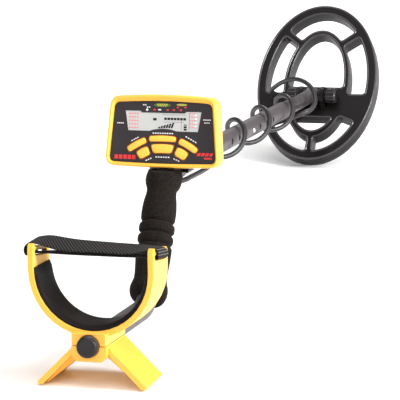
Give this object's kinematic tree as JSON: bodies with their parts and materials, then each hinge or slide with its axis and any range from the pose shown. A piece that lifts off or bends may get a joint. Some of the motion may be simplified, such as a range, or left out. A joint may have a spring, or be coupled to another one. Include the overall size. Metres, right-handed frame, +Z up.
{
  "type": "metal detector",
  "caption": "Metal detector with an arm cuff on feet, a bent stem with foam grip, a tilted control box with keys, a telescopic lower stem and an oval open search coil.",
  "frame": {"origin": "bottom centre of the whole detector's box as it stands on its feet and on the heel of its coil", "axes": "+X to the user's right, +Y forward from the cuff to the coil, +Z up"},
  "size_m": [0.165, 1.0608, 0.2394],
  "materials": {
    "yellow_plastic": "satin moulded",
    "black_plastic": "fine moulded grain",
    "grey_tube": "matte grey anodised",
    "lower_tube": "satin moulded",
    "foam": "closed-cell foam",
    "webbing": "woven webbing",
    "cable_jacket": "smooth jacket",
    "label": "printed overlay",
    "lcd_glass": "polished window",
    "steel": "plated",
    "copper": "enamelled copper wire",
    "board": "solder mask",
    "rubber": "moulded",
    "cell_wrap": "plain wrap"
  },
  "bodies": {
    "upper_stem": {"upper_stem": "grey_tube", "middle_stem": "grey_tube", "upper_snap_spring": "steel", "tube_end_plug": "rubber", "foam_grip": "foam", "stem_saddle": "black_plastic", "saddle_strap": "black_plastic", "saddle_screw_left": "steel", "saddle_screw_right": "steel", "front_housing": "yellow_plastic", "rear_housing": "black_plastic", "label_plate": "label", "lcd_window": "lcd_glass", "lcd_module": "steel", "circuit_board": "board", "loudspeaker": "steel", "battery_tray": "black_plastic", "battery_contacts_lower": "steel", "battery_contacts_upper": "steel", "aa_cell_1": "cell_wrap", "aa_cell_2": "cell_wrap", "aa_cell_3": "cell_wrap", "aa_cell_4": "cell_wrap", "headphone_socket": "black_plastic", "cable_socket": "steel", "cable_plug": "black_plastic", "coil_cable": "cable_jacket"},
    "arm_cuff": {"arm_cuff": "yellow_plastic", "stand": "yellow_plastic", "cuff_pad": "foam", "cuff_strap": "webbing", "cuff_bolt": "steel", "cuff_nut": "steel"},
    "locking_collar": {"locking_collar": "black_plastic"},
    "battery_door": {"battery_door": "black_plastic"},
    "plug_ring": {"plug_ring": "black_plastic"},
    "lower_stem": {"lower_stem": "lower_tube", "lower_snap_spring": "steel", "coil_cable_loop": "cable_jacket"},
    "search_coil": {"coil_shell": "black_plastic", "coil_cover": "black_plastic", "transmit_winding": "copper", "receive_winding": "copper", "cable_gland": "rubber", "yoke_rod": "black_plastic", "yoke_washer_left": "rubber", "yoke_washer_right": "rubber"},
    "key_mode": {"key_mode": "yellow_plastic"},
    "key_sensitivity": {"key_sensitivity": "yellow_plastic"},
    "key_discriminate": {"key_discriminate": "yellow_plastic"},
    "key_power": {"key_power": "yellow_plastic"},
    "key_pinpoint": {"key_pinpoint": "yellow_plastic"},
    "key_eliminate": {"key_eliminate": "yellow_plastic"},
    "hand_nut_left": {"hand_nut_left": "black_plastic"},
    "hand_nut_right": {"hand_nut_right": "black_plastic"},
    "upper_snap_button_left": {"upper_snap_button_left": "steel"},
    "upper_snap_button_right": {"upper_snap_button_right": "steel"},
    "lower_snap_button_left": {"lower_snap_button_left": "steel"},
    "lower_snap_button_right": {"lower_snap_button_right": "steel"}
  },
  "joints": [
    {"name": "cuff_slide", "type": "slide", "parent": "upper_stem", "child": "arm_cuff", "axis": [0, 0.9957, -0.0927], "range_m": [0, 0.04]},
    {"name": "lower_stem_slide", "type": "slide", "parent": "upper_stem", "child": "lower_stem", "axis": [0, 0.9957, -0.0927], "range_m": [-0.0945, 0.0945], "deforming": ["coil_cable", "coil_cable_loop"]},
    {"name": "coil_tilt", "type": "hinge", "parent": "lower_stem", "child": "search_coil", "pos_m": [0, 0.41891, 0.09259], "axis": [1, 0, 0], "range_deg": [-59, 115], "deforming": ["coil_cable", "coil_cable_loop"]},
    {"name": "locking_collar_turn", "type": "hinge", "parent": "upper_stem", "child": "locking_collar", "pos_m": [0, -0.09288, 0.14025], "axis": [0, 0.9957, -0.0927], "range_deg": [0, 90]},
    {"name": "battery_door_slide", "type": "slide", "parent": "upper_stem", "child": "battery_door", "axis": [0, 0.2253, 0.9743], "range_m": [0, 0.045]},
    {"name": "plug_ring_turn", "type": "hinge", "parent": "upper_stem", "child": "plug_ring", "pos_m": [-0.042, -0.19871, 0.16985], "axis": [0, -0.9743, 0.2253], "continuous": true},
    {"name": "hand_nut_left_turn", "type": "hinge", "parent": "search_coil", "child": "hand_nut_left", "pos_m": [0, 0.41891, 0.09259], "axis": [1, 0, 0], "continuous": true},
    {"name": "hand_nut_right_turn", "type": "hinge", "parent": "search_coil", "child": "hand_nut_right", "pos_m": [0, 0.41891, 0.09259], "axis": [1, 0, 0], "continuous": true},
    {"name": "key_mode_press", "type": "slide", "parent": "upper_stem", "child": "key_mode", "axis": [0, 0.9743, -0.2253], "range_m": [0, 0.001], "stiffness_N_per_m": 500, "springref_m": -0.001},
    {"name": "key_sensitivity_press", "type": "slide", "parent": "upper_stem", "child": "key_sensitivity", "axis": [0, 0.9743, -0.2253], "range_m": [0, 0.001], "stiffness_N_per_m": 500, "springref_m": -0.001},
    {"name": "key_discriminate_press", "type": "slide", "parent": "upper_stem", "child": "key_discriminate", "axis": [0, 0.9743, -0.2253], "range_m": [0, 0.001], "stiffness_N_per_m": 500, "springref_m": -0.001},
    {"name": "key_power_press", "type": "slide", "parent": "upper_stem", "child": "key_power", "axis": [0, 0.9743, -0.2253], "range_m": [0, 0.001], "stiffness_N_per_m": 500, "springref_m": -0.001},
    {"name": "key_pinpoint_press", "type": "slide", "parent": "upper_stem", "child": "key_pinpoint", "axis": [0, 0.9743, -0.2253], "range_m": [0, 0.001], "stiffness_N_per_m": 500, "springref_m": -0.001},
    {"name": "key_eliminate_press", "type": "slide", "parent": "upper_stem", "child": "key_eliminate", "axis": [0, 0.9743, -0.2253], "range_m": [0, 0.001], "stiffness_N_per_m": 500, "springref_m": -0.001},
    {"name": "upper_snap_left_press", "type": "slide", "parent": "upper_stem", "child": "upper_snap_button_left", "axis": [1, 0, 0], "range_m": [0, 0.0034], "stiffness_N_per_m": 600, "springref_m": -0.0015, "deforming": ["upper_snap_spring"]},
    {"name": "upper_snap_right_press", "type": "slide", "parent": "upper_stem", "child": "upper_snap_button_right", "axis": [-1, 0, 0], "range_m": [0, 0.0034], "stiffness_N_per_m": 600, "springref_m": -0.0015, "deforming": ["upper_snap_spring"]},
    {"name": "lower_snap_left_press", "type": "slide", "parent": "lower_stem", "child": "lower_snap_button_left", "axis": [1, 0, 0], "range_m": [0, 0.0034], "stiffness_N_per_m": 600, "springref_m": -0.0015, "deforming": ["lower_snap_spring"]},
    {"name": "lower_snap_right_press", "type": "slide", "parent": "lower_stem", "child": "lower_snap_button_right", "axis": [-1, 0, 0], "range_m": [0, 0.0034], "stiffness_N_per_m": 600, "springref_m": -0.0015, "deforming": ["lower_snap_spring"]}
  ]
}
